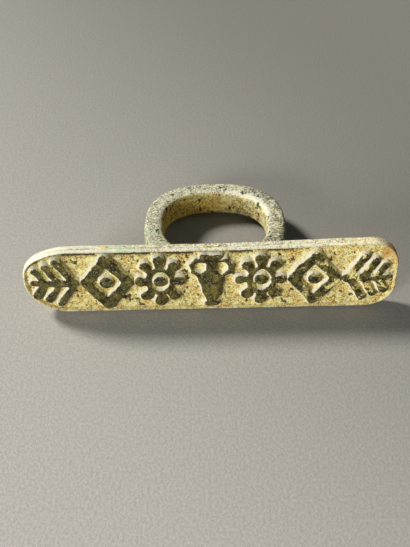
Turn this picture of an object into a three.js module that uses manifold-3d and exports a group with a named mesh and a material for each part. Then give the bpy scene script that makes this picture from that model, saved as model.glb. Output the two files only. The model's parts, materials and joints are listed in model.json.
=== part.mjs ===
// A cast bronze stamp seal: a long, round-ended stamping plate with a low rim and ornaments in relief,
// and a finger ring on its back. Sizes are in millimetres and +Z is up.
//
// The seal is drawn standing upright: x runs along the plate, y runs from the stamping plane (y = 0) to
// the back, and z runs up from the plate's lower edge. At the end it is leaned back, so that it lies as
// it does on a table, on the plate's lower back edge and the far side of the ring.
import * as THREE from "three";
import { mergeVertices } from "three/addons/utils/BufferGeometryUtils.js";
import Module from "manifold-3d";

const wasm = await Module();
wasm.setup();

// Plate
const PLATE_LENGTH = 66;
const HEIGHT_LEFT = 13.7;
const HEIGHT_RIGHT = 14.3;
const TOP_SAG = 0.35; // the upper edge dips this much between its ends
const SAG_POINTS = 5;
const THICKNESS = 2.7; // stamping plane to back face
const BACK_ROUND = 0.6; // rounding of the back edge
const ROUND_MIDDLE = 1 - Math.SQRT1_2; // how far in a rounding's middle lies, as a share of its radius
const CORNER_POINTS = 9;
// Each corner is a quarter of an ellipse, given by how far it reaches along x and along z.
const BOTTOM_RIGHT = { rx: 5.5, rz: 5.2 };
const TOP_RIGHT = { rx: 5.0, rz: 5.0 };
const TOP_LEFT = { rx: 9.0, rz: 5.4 };
const BOTTOM_LEFT = { rx: 8.0, rz: 7.0 };

// Relief
const RELIEF = 1.1; // the ornaments stand this far off the field
const RIM_RISE = 0.8;
const RIM_WIDTH = 0.7;
const SEAT_GAP = 0.2; // left between pieces that sit on one another
const CURVE_SEGMENTS = 8;
const STROKE_SEGMENTS = 4;

// Ornaments: where their middles lie along the plate, and their sizes. A stroke's end is [x, z, radius],
// taken from the ornament's middle.
const AMPHORA_X = 0.1;
const ROSETTE_X = 8.9;
const LOZENGE_X = 18.3;
const PALM_FOOT_X = 23.9;
const AMPHORA_BODY = [
  { from: [-1.25, 5.05, 0.6], to: [1.25, 5.05, 0.6] },
  { from: [0, 4.9, 0.75], to: [0, 1.6, 0.8] },
  { from: [0, 0.1, 2.15], to: [0, -2.3, 1.5] },
  { from: [0, -2.3, 1.5], to: [0, -4.9, 0.55] },
  { from: [-0.85, -5.2, 0.5], to: [0.85, -5.2, 0.5] },
];
const AMPHORA_HANDLE = [
  [0.5, 4.1, 0.5],
  [2.5, 4.35, 0.5],
  [3.4, 3.3, 0.5],
  [3.2, 1.9, 0.5],
  [1.6, 0.8, 0.55],
];
const PETALS = 8;
const PETAL_ROOT = { rx: 2.3, rz: 2.8, radius: 0.55 };
const PETAL_END = { rx: 3.5, rz: 4.5, radius: 0.98 };
const ROSETTE_WEB = 0.35; // half the width of the ring that joins the petals
const BOSS_RADIUS = 1.1;
const LOZENGE = { rx: 3.75, rz: 4.95, radius: 0.85 };
const PELLET_RADIUS = 1.15;
const PALM_STEM = { from: [0, 0, 0.8], to: [7.1, 0, 0.55] };
const PALM_PAIRS = 3;
const PALM_LEAF = { root: 0.1, pitch: 2.5, reach: 5.3, shorten: 1.1, slant: 58, radii: [0.45, 0.68] };

// Finger ring
const RING_CENTRE = { x: 1.1, y: 14.8, z: 6.9 };
const RING_HALF = { x: 13.4, y: 13.5 };
const HOLE_HALF = { x: 9.5, y: 9.2 };
const SQUARENESS = 2.48; // 2 is an ellipse, and more is squarer
const BAND_WIDTH = 5.4;
const BAND_ROUND = 1.2;
const BAND_ROUND_STEPS = 3;
const RING_POINTS = 72;
const FOOT_HEIGHT = 4.6;
const FOOT_REACH = 4.8; // along the plate, from where the ring meets it
const FOOT_LIP = 0.5; // how thin the foot runs out on the plate
const FOOT_TOP_ANGLE = 36; // degrees round the ring from its side to the foot's top
const FOOT_POINTS = 5;

const LEAN_STEPS = 8; // enough for the lean to settle
const MERGE_DISTANCE = 1e-4; // corners closer than this are one

const plateBronze = new THREE.MeshStandardMaterial({ color: 0xa39058, roughness: 0.8, metalness: 0.3 });
const handleBronze = new THREE.MeshStandardMaterial({ color: 0x99977a, roughness: 0.7, metalness: 0.3 });
const rubbedBronze = new THREE.MeshStandardMaterial({ color: 0x45412c, roughness: 0.6, metalness: 0.4 });

const FIELD_Y = RELIEF; // where the field lies behind the stamping plane
const SEAT_Y = THICKNESS + SEAT_GAP; // where the ring and its feet start behind the plate
const MIDDLE_Z = (HEIGHT_LEFT + HEIGHT_RIGHT - TOP_SAG) / 4;

// Turns a closed geometry into a solid for cutting and joining.
function solidOf(geometry) {
  const bare = geometry.index ? geometry.toNonIndexed() : geometry.clone();
  bare.deleteAttribute("normal");
  bare.deleteAttribute("uv");
  const merged = mergeVertices(bare, MERGE_DISTANCE);
  const vertProperties = new Float32Array(merged.attributes.position.array);
  const triVerts = new Uint32Array(merged.index.array);
  return new wasm.Manifold(new wasm.Mesh({ numProp: 3, vertProperties, triVerts }));
}

function geometryOf(solid) {
  const mesh = solid.getMesh();
  const geometry = new THREE.BufferGeometry();
  geometry.setAttribute("position", new THREE.BufferAttribute(new Float32Array(mesh.vertProperties), 3));
  geometry.setIndex(new THREE.BufferAttribute(new Uint32Array(mesh.triVerts), 1));
  geometry.computeVertexNormals();
  return geometry;
}

function named(name, geometry, material) {
  const mesh = new THREE.Mesh(geometry, material);
  mesh.name = name;
  return mesh;
}

// The plate's outline, drawn in by an inset. It runs anticlockwise from the right end of the lower edge.
function outlinePoints(inset) {
  const left = -PLATE_LENGTH / 2 + inset;
  const right = PLATE_LENGTH / 2 - inset;
  const quarter = (corner, x, z, sx, sz, from) => {
    const rx = corner.rx - inset;
    const rz = corner.rz - inset;
    return Array.from({ length: CORNER_POINTS }, (_, i) => {
      const angle = from + ((i / (CORNER_POINTS - 1)) * Math.PI) / 2;
      return new THREE.Vector2(x - sx * rx + rx * Math.cos(angle), z - sz * rz + rz * Math.sin(angle));
    });
  };
  const topRight = quarter(TOP_RIGHT, right, HEIGHT_RIGHT - inset, 1, 1, 0);
  const topLeft = quarter(TOP_LEFT, left, HEIGHT_LEFT - inset, -1, 1, Math.PI / 2);
  const sag = Array.from({ length: SAG_POINTS }, (_, i) => {
    const share = (i + 1) / (SAG_POINTS + 1);
    const point = topRight[CORNER_POINTS - 1].clone().lerp(topLeft[0], share);
    point.y -= TOP_SAG * Math.sin(Math.PI * share) ** 2;
    return point;
  });
  return [
    ...quarter(BOTTOM_RIGHT, right, inset, 1, -1, -Math.PI / 2),
    ...topRight,
    ...sag,
    ...topLeft,
    ...quarter(BOTTOM_LEFT, left, inset, -1, -1, Math.PI),
  ];
}

// The plate, as outlines of equal point counts joined from the field to the back face.
function plateGeometry() {
  const stations = [
    { inset: 0, y: FIELD_Y },
    { inset: 0, y: THICKNESS - BACK_ROUND },
    { inset: BACK_ROUND * ROUND_MIDDLE, y: THICKNESS - BACK_ROUND * ROUND_MIDDLE },
    { inset: BACK_ROUND, y: THICKNESS },
  ];
  const rings = stations.map(({ inset, y }) => outlinePoints(inset).map((p) => [p.x, y, p.y]));
  const count = rings[0].length;
  const index = [];
  for (let s = 0; s < rings.length - 1; s++) {
    for (let i = 0; i < count; i++) {
      const a = s * count + i;
      const b = s * count + ((i + 1) % count);
      index.push(a, a + count, b + count, a, b + count, b);
    }
  }
  const last = (rings.length - 1) * count;
  for (const [a, b, c] of THREE.ShapeUtils.triangulateShape(outlinePoints(0), [])) {
    index.push(a, b, c);
    index.push(last + a, last + c, last + b);
  }
  const geometry = new THREE.BufferGeometry();
  geometry.setAttribute("position", new THREE.Float32BufferAttribute(rings.flat(2), 3));
  geometry.setIndex(index);
  geometry.computeVertexNormals();
  return geometry;
}

// A piece of relief stands on the field. Its geometry is extruded along +z and turned to face -y.
function onField(name, geometry, material = rubbedBronze) {
  const mesh = named(name, geometry, material);
  mesh.rotation.x = Math.PI / 2;
  mesh.position.y = FIELD_Y - SEAT_GAP;
  return mesh;
}

function raised(shape, rise = RELIEF, curveSegments = CURVE_SEGMENTS) {
  return new THREE.ExtrudeGeometry(shape, { depth: rise - SEAT_GAP, bevelEnabled: false, curveSegments });
}

function rimShape() {
  const shape = new THREE.Shape(outlinePoints(0));
  shape.holes.push(new THREE.Path(outlinePoints(RIM_WIDTH).reverse()));
  return shape;
}

// Ornaments

function disc(x, z, radius) {
  return raised(new THREE.Shape().absarc(x, z, radius, 0, 2 * Math.PI, false));
}

// A stroke is the outline round two discs, so it tapers from one to the other.
function strokeShape([x0, z0, r0], [x1, z1, r1]) {
  const along = Math.atan2(z1 - z0, x1 - x0);
  const tangent = Math.acos((r0 - r1) / Math.hypot(x1 - x0, z1 - z0));
  const shape = new THREE.Shape();
  shape.absarc(x1, z1, r1, along - tangent, along + tangent, false);
  shape.absarc(x0, z0, r0, along + tangent, along + 2 * Math.PI - tangent, false);
  return shape;
}

// Joins strokes round a middle into one piece. Side is -1 where the ornament is mirrored.
function figure(x, side, strokes, extra = []) {
  const place = ([u, w, radius]) => [x + side * u, MIDDLE_Z + w, radius];
  const shapes = strokes.map(({ from, to }) => strokeShape(place(from), place(to)));
  const pieces = shapes.map((shape) => raised(shape, RELIEF, STROKE_SEGMENTS));
  return geometryOf(wasm.Manifold.union([...pieces, ...extra].map(solidOf)));
}

function amphora() {
  const handles = [1, -1].flatMap((side) =>
    AMPHORA_HANDLE.slice(1).map((to, i) => {
      const from = AMPHORA_HANDLE[i];
      return { from: [side * from[0], from[1], from[2]], to: [side * to[0], to[1], to[2]] };
    }),
  );
  return figure(AMPHORA_X, 1, [...AMPHORA_BODY, ...handles]);
}

// Petals on a thin ring, with a hollow in the middle for the boss.
function rosette(side) {
  const x = side * ROSETTE_X;
  const end = ({ rx, rz, radius }, angle) => [rx * Math.cos(angle), rz * Math.sin(angle), radius];
  const petals = Array.from({ length: PETALS }, (_, i) => {
    const angle = (i / PETALS) * 2 * Math.PI;
    return { from: end(PETAL_ROOT, angle), to: end(PETAL_END, angle) };
  });
  const { rx, rz } = PETAL_ROOT;
  const web = new THREE.Shape();
  web.absellipse(x, MIDDLE_Z, rx + ROSETTE_WEB, rz + ROSETTE_WEB, 0, 2 * Math.PI, false, 0);
  web.holes.push(
    new THREE.Path().absellipse(x, MIDDLE_Z, rx - ROSETTE_WEB, rz - ROSETTE_WEB, 0, 2 * Math.PI, true, 0),
  );
  return figure(x, side, petals, [raised(web)]);
}

function lozenge(side) {
  const { rx, rz, radius } = LOZENGE;
  const corners = [[rx, 0, radius], [0, rz, radius], [-rx, 0, radius], [0, -rz, radius]];
  const strokes = corners.map((from, i) => ({ from, to: corners[(i + 1) % corners.length] }));
  return figure(side * LOZENGE_X, side, strokes);
}

// A branch that lies along the plate and points to its end: a stem, and pairs of leaves that get shorter.
function palmBranch(side) {
  const slant = THREE.MathUtils.degToRad(PALM_LEAF.slant);
  const leaves = Array.from({ length: PALM_PAIRS }, (_, i) => {
    const root = PALM_LEAF.root + i * PALM_LEAF.pitch;
    const reach = PALM_LEAF.reach - i * PALM_LEAF.shorten;
    return [1, -1].map((up) => ({
      from: [root, 0, PALM_LEAF.radii[0]],
      to: [root + reach * Math.cos(slant), up * reach * Math.sin(slant), PALM_LEAF.radii[1]],
    }));
  });
  return figure(side * PALM_FOOT_X, side, [PALM_STEM, ...leaves.flat()]);
}

// Finger ring

// A point of a squared ellipse round the ring's centre, at an angle from +x.
function squaredEllipse(half, angle) {
  const power = 2 / SQUARENESS;
  const c = Math.cos(angle);
  const s = Math.sin(angle);
  const x = RING_CENTRE.x + half.x * Math.sign(c) * Math.abs(c) ** power;
  const y = RING_CENTRE.y + half.y * Math.sign(s) * Math.abs(s) ** power;
  return new THREE.Vector2(x, y);
}

function ringOutline(half) {
  const step = (2 * Math.PI) / RING_POINTS;
  return Array.from({ length: RING_POINTS }, (_, i) => squaredEllipse(half, i * step));
}

// The band, rounded at its edges and cut flat where it sits on the plate's back.
function ringBand() {
  const shape = new THREE.Shape(ringOutline(RING_HALF));
  shape.holes.push(new THREE.Path(ringOutline(HOLE_HALF).reverse()));
  const band = new THREE.ExtrudeGeometry(shape, {
    depth: BAND_WIDTH - 2 * BAND_ROUND,
    bevelThickness: BAND_ROUND,
    bevelSize: BAND_ROUND,
    bevelOffset: -BAND_ROUND,
    bevelSegments: BAND_ROUND_STEPS,
  });
  band.translate(0, 0, RING_CENTRE.z - BAND_WIDTH / 2 + BAND_ROUND);
  const reach = 2 * RING_HALF.x;
  const front = new THREE.BoxGeometry(2 * reach, reach, reach);
  front.translate(RING_CENTRE.x, SEAT_Y - reach / 2, RING_CENTRE.z);
  return geometryOf(solidOf(band).subtract(solidOf(front)));
}

// A wedge that fills the corner between the plate's back and the ring. Side is +1 on the right and -1 on
// the left.
function ringFoot(side) {
  const clear = { x: RING_HALF.x + SEAT_GAP, y: RING_HALF.y + SEAT_GAP };
  const topAngle = THREE.MathUtils.degToRad(FOOT_TOP_ANGLE);
  const seatAngle = Math.asin(((RING_CENTRE.y - SEAT_Y) / clear.y) ** (SQUARENESS / 2));
  const onRing = Array.from({ length: FOOT_POINTS }, (_, i) => {
    const angle = THREE.MathUtils.lerp(topAngle, seatAngle, i / (FOOT_POINTS - 1));
    return squaredEllipse(clear, side > 0 ? -angle : Math.PI + angle);
  });
  const top = onRing[0];
  const inner = onRing[FOOT_POINTS - 1];
  const end = inner.x + side * FOOT_REACH;
  const shape = new THREE.Shape();
  shape.moveTo(inner.x, inner.y);
  shape.lineTo(end, SEAT_Y);
  shape.lineTo(end, SEAT_Y + FOOT_LIP);
  shape.quadraticCurveTo(top.x + side * FOOT_LIP, SEAT_Y + 2 * FOOT_LIP, top.x, top.y);
  onRing.slice(1, -1).forEach((p) => shape.lineTo(p.x, p.y));
  const geometry = new THREE.ExtrudeGeometry(shape, {
    depth: FOOT_HEIGHT,
    bevelEnabled: false,
    curveSegments: FOOT_POINTS,
  });
  geometry.translate(0, 0, RING_CENTRE.z - FOOT_HEIGHT / 2);
  return geometry;
}

// Assembly

const seal = new THREE.Group();
const plate = named("face_plate", plateGeometry(), plateBronze);
const ring = named("finger_ring", ringBand(), handleBronze);
seal.add(plate, ring);
seal.add(onField("border_rim", raised(rimShape(), RIM_RISE), plateBronze));
seal.add(onField("amphora", amphora()));
for (const [where, side] of [["left", -1], ["right", 1]]) {
  seal.add(named(`ring_foot_${where}`, ringFoot(side), handleBronze));
  seal.add(onField(`rosette_${where}`, rosette(side)));
  seal.add(onField(`rosette_boss_${where}`, disc(side * ROSETTE_X, MIDDLE_Z, BOSS_RADIUS)));
  seal.add(onField(`lozenge_${where}`, lozenge(side)));
  seal.add(onField(`lozenge_pellet_${where}`, disc(side * LOZENGE_X, MIDDLE_Z, PELLET_RADIUS)));
  seal.add(onField(`palm_branch_${where}`, palmBranch(side)));
}

// The point of a mesh that is lowest once the seal leans back by that angle.
function lowestPoint(mesh, lean) {
  const at = new THREE.Vector3();
  const position = mesh.geometry.attributes.position;
  let lowest = { height: Infinity };
  for (let i = 0; i < position.count; i++) {
    at.fromBufferAttribute(position, i);
    const height = at.z * Math.cos(lean) - at.y * Math.sin(lean);
    if (height < lowest.height) lowest = { height, y: at.y, z: at.z };
  }
  return lowest;
}

// The seal leans back until the plate's lower back edge and the ring stand on one level. That level is then
// set at z = 0, with the seal centred over the origin.
let lean = 0;
for (let i = 0; i < LEAN_STEPS; i++) {
  const edge = lowestPoint(plate, lean);
  const band = lowestPoint(ring, lean);
  lean = Math.atan2(band.z - edge.z, band.y - edge.y);
}
seal.rotation.x = -lean;
seal.updateMatrixWorld(true);
const box = new THREE.Box3().setFromObject(seal, true);
const centre = box.getCenter(new THREE.Vector3());
seal.position.set(-centre.x, -centre.y, -box.min.z);

export default seal;
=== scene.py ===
"""A cast bronze stamp seal, at rest on a table: a long stamping plate with ornaments in relief inside a low
rim, and a finger ring on its back. Shapes are worked out in millimetres with the seal upright, where x runs
along the plate, y from the stamping plane to the back and z up the plate, and then leaned into the frame."""

import json
import math

import bpy
import numpy as np
from mathutils import Matrix, Vector


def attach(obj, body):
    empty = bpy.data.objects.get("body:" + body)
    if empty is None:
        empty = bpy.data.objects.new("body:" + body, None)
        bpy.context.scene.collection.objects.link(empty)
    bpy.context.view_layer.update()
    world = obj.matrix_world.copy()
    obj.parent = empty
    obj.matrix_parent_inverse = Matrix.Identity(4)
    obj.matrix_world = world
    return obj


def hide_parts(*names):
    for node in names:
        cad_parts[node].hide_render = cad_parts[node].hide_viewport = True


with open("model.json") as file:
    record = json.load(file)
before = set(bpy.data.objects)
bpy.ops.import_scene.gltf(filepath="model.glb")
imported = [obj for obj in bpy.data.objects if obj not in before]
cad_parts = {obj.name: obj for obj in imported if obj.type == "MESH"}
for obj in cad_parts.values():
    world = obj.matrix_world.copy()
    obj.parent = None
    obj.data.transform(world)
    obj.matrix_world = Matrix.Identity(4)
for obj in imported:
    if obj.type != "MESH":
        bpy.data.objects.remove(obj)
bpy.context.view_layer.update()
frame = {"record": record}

# Plate, as in the CAD model
PLATE_LENGTH = 66.0
HEIGHT_LEFT = 13.7
HEIGHT_RIGHT = 14.3
TOP_SAG = 0.35
THICKNESS = 2.7
BACK_ROUND = 0.6
CORNERS = {
    "bottom_right": (5.5, 5.2),
    "top_right": (5.0, 5.0),
    "top_left": (9.0, 5.4),
    "bottom_left": (8.0, 7.0),
}
RELIEF = 1.1
FIELD_Y = RELIEF
MIDDLE_Z = (HEIGHT_LEFT + HEIGHT_RIGHT - TOP_SAG) / 4

# Ornaments: a stroke's end is (x, z, radius), from the ornament's middle
AMPHORA_X = 0.1
ROSETTE_X = 8.9
LOZENGE_X = 18.3
PALM_FOOT_X = 23.9
AMPHORA_BODY = [
    ((-1.25, 5.05, 0.6), (1.25, 5.05, 0.6)),
    ((0, 4.9, 0.75), (0, 1.6, 0.8)),
    ((0, 0.1, 2.15), (0, -2.3, 1.5)),
    ((0, -2.3, 1.5), (0, -4.9, 0.55)),
    ((-0.85, -5.2, 0.5), (0.85, -5.2, 0.5)),
]
AMPHORA_HANDLE = [(0.5, 4.1, 0.5), (2.5, 4.35, 0.5), (3.4, 3.3, 0.5), (3.2, 1.9, 0.5), (1.6, 0.8, 0.55)]
HANDLE_THIN = 0.2  # taken off a handle's radius, so that the handles stay open
PETALS = 8
PETAL_ROOT = (2.3, 2.8, 0.55)
PETAL_END = (3.5, 4.5, 0.98)
CHORD_RADIUS = 0.35
BOSS_RADIUS = 1.1
LOZENGE = (3.75, 4.95, 0.85)
PELLET_RADIUS = 1.15
DOT_LENGTH = 0.01
PALM_STEM = ((0, 0, 0.8), (7.1, 0, 0.55))
PALM_PAIRS = 3
PALM_LEAF = {"root": 0.1, "pitch": 2.5, "reach": 5.3, "shorten": 1.1, "slant": 58, "radii": (0.45, 0.68)}

# Finger ring
RING_CENTRE = (1.1, 14.8, 6.9)
RING_HALF = (13.4, 13.5)
HOLE_HALF = (9.5, 9.2)
SQUARENESS = 2.48
BAND_WIDTH = 5.4
SECTION_SQUARENESS = 4.4
RING_SINK_Y = 1.9  # the ring and its feet start this deep inside the plate
FOOT_TOP_Y = 7.2
FOOT_REACH = 4.8
FOOT_DRAWN_IN = 0.95  # the share of its reach that a foot's soft shape has
FOOT_HALF_HEIGHT = (1.9, 2.6)  # at the ring and at the plate

MM = 0.001

# Camera, as fitted to the photograph with the seal upright: it looks down at the plate
CAMERA_PITCH = math.radians(38.56)
CAMERA_ROLL = math.radians(1.2)
CAMERA_DISTANCE = 162.29
CAMERA_AIM = (-0.95, 6.82)
FOCAL_PIXELS = 900
PHOTO_HEIGHT = 547
SENSOR = 36
NEAR_CLIP = 0.01

# How the seal leans, from its stamping face in the record
FACE_POINT_Z = 6.91  # the mount's point, up the plate
stamping_face = next(m for m in frame["record"]["mounts"] if m["name"] == "stamping_face")
LEAN_COS = -stamping_face["axis"][1]
LEAN_SIN = stamping_face["axis"][2]
LEAN_Y = stamping_face["pos_m"][1] / MM - FACE_POINT_Z * LEAN_SIN
LEAN_Z = stamping_face["pos_m"][2] / MM - FACE_POINT_Z * LEAN_COS


def turned(points):
    """Turns upright directions into the frame's: y and z turn by the lean about x."""
    x, y, z = np.moveaxis(np.asarray(points, float), -1, 0)
    return np.stack([x, y * LEAN_COS + z * LEAN_SIN, z * LEAN_COS - y * LEAN_SIN], -1)


def leaned(points):
    """Upright millimetres to the frame's metres: the lean, and the shift that sets the seal on the table."""
    return (turned(points) + [0, LEAN_Y, LEAN_Z]) * MM


# Noise

LATTICE = 32
OCTAVES = 3
OCTAVE_SHIFT = 7.3  # keeps the corners of finer lattices away from those of the first


def eased(share):
    """A share from 0 to 1, with a level start and end."""
    return share * share * (3 - 2 * share)


def step(value, low, high):
    """An eased step from 0 at low to 1 at high. High may lie below low."""
    return eased(np.clip((value - low) / (high - low), 0, 1))


def grain(points, size, seed):
    """Lattice noise from 0 to 1: random values on a cubic lattice of the given size in millimetres, eased
    between its corners, plus octaves at half the size and half the strength."""
    lattice = np.random.default_rng(seed).random((LATTICE, LATTICE, LATTICE))
    total = np.zeros(points.shape[:-1])
    weight = 0.0
    for octave in range(OCTAVES):
        at = points / size * 2**octave + OCTAVE_SHIFT * octave
        cell = np.floor(at).astype(int)
        share = eased(at - cell)
        value = np.zeros(points.shape[:-1])
        for corner in np.ndindex(2, 2, 2):
            i, j, k = np.moveaxis((cell + corner) % LATTICE, -1, 0)
            part = np.where(corner, share, 1 - share)
            value += lattice[i, j, k] * part.prod(-1)
        total += value * 0.5**octave
        weight += 0.5**octave
    return total / weight


def rough(points, *patterns):
    """Several noises added up. A pattern is its depth, the size of its grains and its seed."""
    return sum(depth * grain(points, size, seed) for depth, size, seed in patterns)


def patches(points, most, size, seed, faint, full):
    """Patches of the given strength, where noise goes from its faint level to its full one."""
    return most * step(grain(points, size, seed), faint, full)


def band(value, rise, fall):
    """1 between a rise and a fall, each of them eased between its two values."""
    return step(value, *rise) * step(value, *fall)


# Meshes

WELD_STEPS = 1e4  # per millimetre: points nearer to each other than a step are one point


def grid_quads(rows, columns, wrap_rows=False, wrap_columns=True):
    """Quads between the points of a grid, which are numbered row by row. A wrapped grid closes on itself."""
    this_row = np.arange(rows if wrap_rows else rows - 1)[:, None]
    this_column = np.arange(columns if wrap_columns else columns - 1)[None, :]
    next_row = (this_row + 1) % rows
    next_column = (this_column + 1) % columns
    corners = [
        this_row * columns + this_column,
        next_row * columns + this_column,
        next_row * columns + next_column,
        this_row * columns + next_column,
    ]
    return np.stack(np.broadcast_arrays(*corners), -1).reshape(-1, 4)


def welded(points, quads, shades):
    """Joins points that lie in one place, and makes a quad with a doubled corner a triangle."""
    keys = np.round(points * WELD_STEPS).astype(np.int64)
    _, first, inverse = np.unique(keys, axis=0, return_index=True, return_inverse=True)
    quads = inverse.reshape(-1)[quads]
    doubled = quads == np.roll(quads, -1, axis=1)
    whole = quads[~doubled.any(1)]
    thin = doubled.sum(1) == 1
    triangles = quads[thin][~doubled[thin]].reshape(-1, 3)
    shades = {shade: values[first] for shade, values in shades.items()}
    return points[first], whole.tolist() + triangles.tolist(), shades


def piece(name, points, quads, shades, material):
    """Puts a surface into a mesh that stands for the CAD node of the same name. Shades are values from 0 to
    1 on its points, which the materials read as attributes."""
    shades = {shade: np.broadcast_to(values, points.shape[:-1]) for shade, values in shades.items()}
    shades = {shade: np.clip(values, 0, 1).reshape(-1) for shade, values in shades.items()}
    points, faces, shades = welded(points.reshape(-1, 3), quads, shades)
    mesh = bpy.data.meshes.new(name)
    mesh.from_pydata(leaned(points).tolist(), [], faces)
    mesh.polygons.foreach_set("use_smooth", np.ones(len(mesh.polygons), bool))
    for shade, values in shades.items():
        layer = mesh.attributes.new(shade, "FLOAT", "POINT")
        layer.data.foreach_set("value", values.astype(np.float32))
    mesh.materials.append(material)
    mesh.update()
    thing = bpy.data.objects.new(name + "_surface", mesh)
    bpy.context.scene.collection.objects.link(thing)
    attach(thing, "root")
    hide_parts(name)
    return thing


# Strokes of the ornaments

BLEND = 0.35  # rounding where strokes meet


def stroke_distance(x, z, start, end):
    """The distance to a stroke, below 0 inside it: the distance to its middle line, less a radius that runs
    from one end's to the other's."""
    (x0, z0, r0), (x1, z1, r1) = start, end
    along = np.array([x1 - x0, z1 - z0])
    share = np.clip(((x - x0) * along[0] + (z - z0) * along[1]) / (along @ along), 0, 1)
    return np.hypot(x - x0 - share * along[0], z - z0 - share * along[1]) - r0 - share * (r1 - r0)


def joined(distances):
    """The least of several distances, rounded where two of them meet."""
    least = distances[0]
    for other in distances[1:]:
        near = np.clip(0.5 + 0.5 * (other - least) / BLEND, 0, 1)
        least = other * (1 - near) + least * near - BLEND * near * (1 - near)
    return least


def amphora_strokes():
    """The jar's body, and a bent handle on each side."""
    handles = []
    for side in (1, -1):
        bend = [(side * x, z, radius - HANDLE_THIN) for x, z, radius in AMPHORA_HANDLE]
        handles += list(zip(bend, bend[1:]))
    return AMPHORA_BODY + handles


def rosette_strokes():
    """Petals at even angles, from a small ellipse out to a large one, and chords that join their roots."""
    def ends(petal, angle):
        return (petal[0] * math.cos(angle), petal[1] * math.sin(angle), petal[2])

    angles = [2 * math.pi * i / PETALS for i in range(PETALS)]
    petals = [(ends(PETAL_ROOT, a), ends(PETAL_END, a)) for a in angles]
    roots = [ends((*PETAL_ROOT[:2], CHORD_RADIUS), a) for a in angles]
    return petals + list(zip(roots, roots[1:] + roots[:1]))


def lozenge_strokes():
    """Four straight sides between the lozenge's corners."""
    rx, rz, radius = LOZENGE
    corners = [(rx, 0, radius), (0, rz, radius), (-rx, 0, radius), (0, -rz, radius)]
    return list(zip(corners, corners[1:] + corners[:1]))


def palm_strokes():
    """A stem, and pairs of leaves at one slant, which get shorter towards its tip."""
    slant = math.radians(PALM_LEAF["slant"])
    strokes = [PALM_STEM]
    for i in range(PALM_PAIRS):
        root = PALM_LEAF["root"] + i * PALM_LEAF["pitch"]
        reach = PALM_LEAF["reach"] - i * PALM_LEAF["shorten"]
        for up in (1, -1):
            end = (root + reach * math.cos(slant), up * reach * math.sin(slant), PALM_LEAF["radii"][1])
            strokes.append(((root, 0, PALM_LEAF["radii"][0]), end))
    return strokes


def dot_strokes(radius):
    """One stroke, so short that it is round."""
    return [((0, 0, radius), (DOT_LENGTH, 0, radius))]


# Each figure's middle along the plate, its side of the plate, and its strokes
FIGURES = {"amphora": (AMPHORA_X, 1, amphora_strokes())}
for word, side in (("left", -1), ("right", 1)):
    FIGURES[f"rosette_{word}"] = (side * ROSETTE_X, side, rosette_strokes())
    FIGURES[f"rosette_boss_{word}"] = (side * ROSETTE_X, side, dot_strokes(BOSS_RADIUS))
    FIGURES[f"lozenge_{word}"] = (side * LOZENGE_X, side, lozenge_strokes())
    FIGURES[f"lozenge_pellet_{word}"] = (side * LOZENGE_X, side, dot_strokes(PELLET_RADIUS))
    FIGURES[f"palm_branch_{word}"] = (side * PALM_FOOT_X, side, palm_strokes())


# Figures

TOP_EDGE = -0.12  # where a figure's flat top ends, as a distance from its stroke's outline
FLANK_FOOT = 0.62
FLANK_STRAIGHT = 0.45  # the share of a flank's rise that is straight, and not eased
SKIRT = 0.3  # how far a figure runs on under the earth
SKIRT_DROP = 0.45
SLAB_BACK_Y = FIELD_Y + 0.7
PITCH = 0.1  # between the points of a figure
GRID_MARGIN = 0.5

# Noise of the figures: its depth and the size of its grains in millimetres, and its seed
STRAY_ALONG = (0.5, 3.1, 11)
STRAY_UP = (0.5, 3.1, 12)
STRAY_WIDTH = (0.42, 1.9, 13)
TOP_DENTS = (0.05, 0.45, 21)
TOP_SWELLS = (0.1, 1.6, 22)
FLANK_DENTS = (0.16, 0.45, 21)
EARTH_EDGE = (0.3, 0.9, 23)

WORN_FROM = (0.6, 1)  # shares of a figure's rise
EARTH_FADE = (0.7, 0.98)
# The flanks that face up and to the left, towards the light, are painted pale as highlight, and those across
# from them brown as shade
LIT_FLANK = ((0.05, 0.4), (0.98, 0.85))
SHADED_FLANK = ((0.02, 0.3), (0.98, 0.8))
LIT_SIDE = (0.75, -0.66)  # the way in from the flanks that face up and to the left, towards the light, which are painted pale as highlight
LIT_FACING = (-0.35, 0.45)
SHADED_FACING = (-0.1, -0.8)
SOILED_ALONG = (5, 24)  # the figures carry more and more earth between these, along the plate
SOILED = (0.8, 1.3, 24, 0.5, 0.66)
LEAST_SLOPE = 1e-9


def face_on(x, z):
    """Points on the stamping plane."""
    return np.stack([x, np.zeros_like(x), z], -1)


def either_way(points, depth, size, seed):
    """Noise about 0, half its depth to either side."""
    return depth * (grain(points, size, seed) - 0.5)


def figure_distance(name, x, z):
    """The distance to one figure, on a plane that is bent a little by noise, as a hand cuts it."""
    middle, side, strokes = FIGURES[name]
    flat = face_on(x, z)
    along = (x + either_way(flat, *STRAY_ALONG) - middle) * side
    up = z + either_way(flat, *STRAY_UP) - MIDDLE_Z
    distances = [stroke_distance(along, up, start, end) for start, end in strokes]
    return joined(distances) - either_way(flat, *STRAY_WIDTH)


def figure_grid(name):
    """A square grid that covers a figure and its skirt."""
    middle, side, strokes = FIGURES[name]
    ends = np.array([end for stroke in strokes for end in stroke])
    margin = ends[:, 2].max() + (FLANK_FOOT + SKIRT + GRID_MARGIN)
    left, right = np.sort(middle + side * np.array([ends[:, 0].min(), ends[:, 0].max()]))
    low = MIDDLE_Z + ends[:, 1].min()
    high = MIDDLE_Z + ends[:, 1].max()
    across = np.arange(left - margin, right + margin, PITCH)
    up = np.arange(low - margin, high + margin, PITCH)
    return np.meshgrid(across, up, indexing="ij")


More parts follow.
